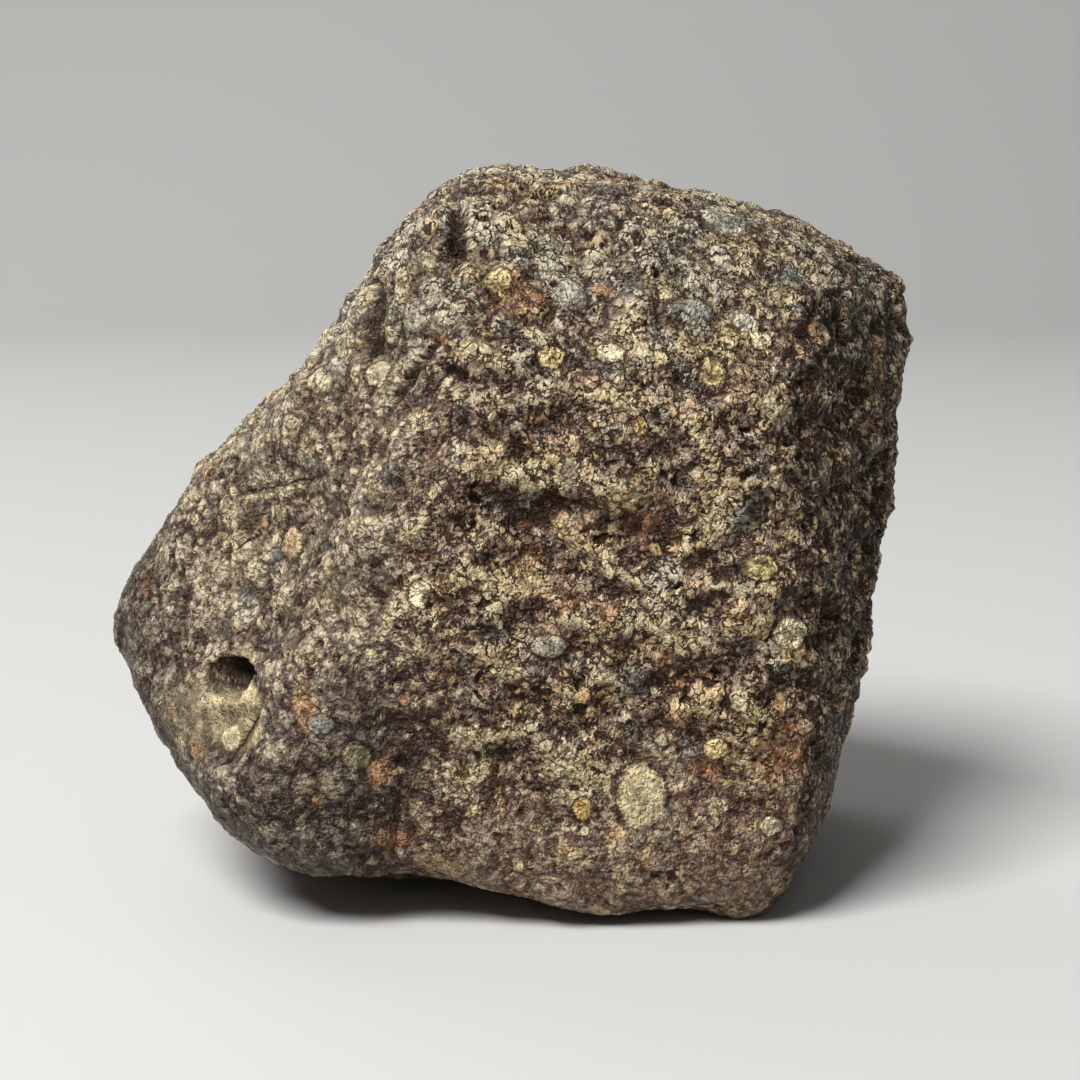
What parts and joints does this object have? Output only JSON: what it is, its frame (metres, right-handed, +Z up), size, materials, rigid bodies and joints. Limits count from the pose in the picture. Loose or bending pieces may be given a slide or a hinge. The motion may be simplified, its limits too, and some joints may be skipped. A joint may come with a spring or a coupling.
{
  "type": "chondrite meteorite",
  "caption": "Weathered chondrite meteorite: a rounded block with broken faces, a scooped left side and a small pit, lying on a small flat spot.",
  "frame": {"origin": "on the surface the stone lies on, under the middle of its bounding box", "axes": "+X to the right along the stone's longest extent, +Y from the broad front face to the back, +Z up from the flat spot it rests on"},
  "size_m": [0.0526, 0.0402, 0.0458],
  "materials": {
    "stone": "weathered chondrite: cream, grey and rust-brown grains in a dark brown ground, rough, with a faint sheen on the worn grains"
  },
  "bodies": {
    "root": {"stone": "stone"}
  },
  "joints": []
}
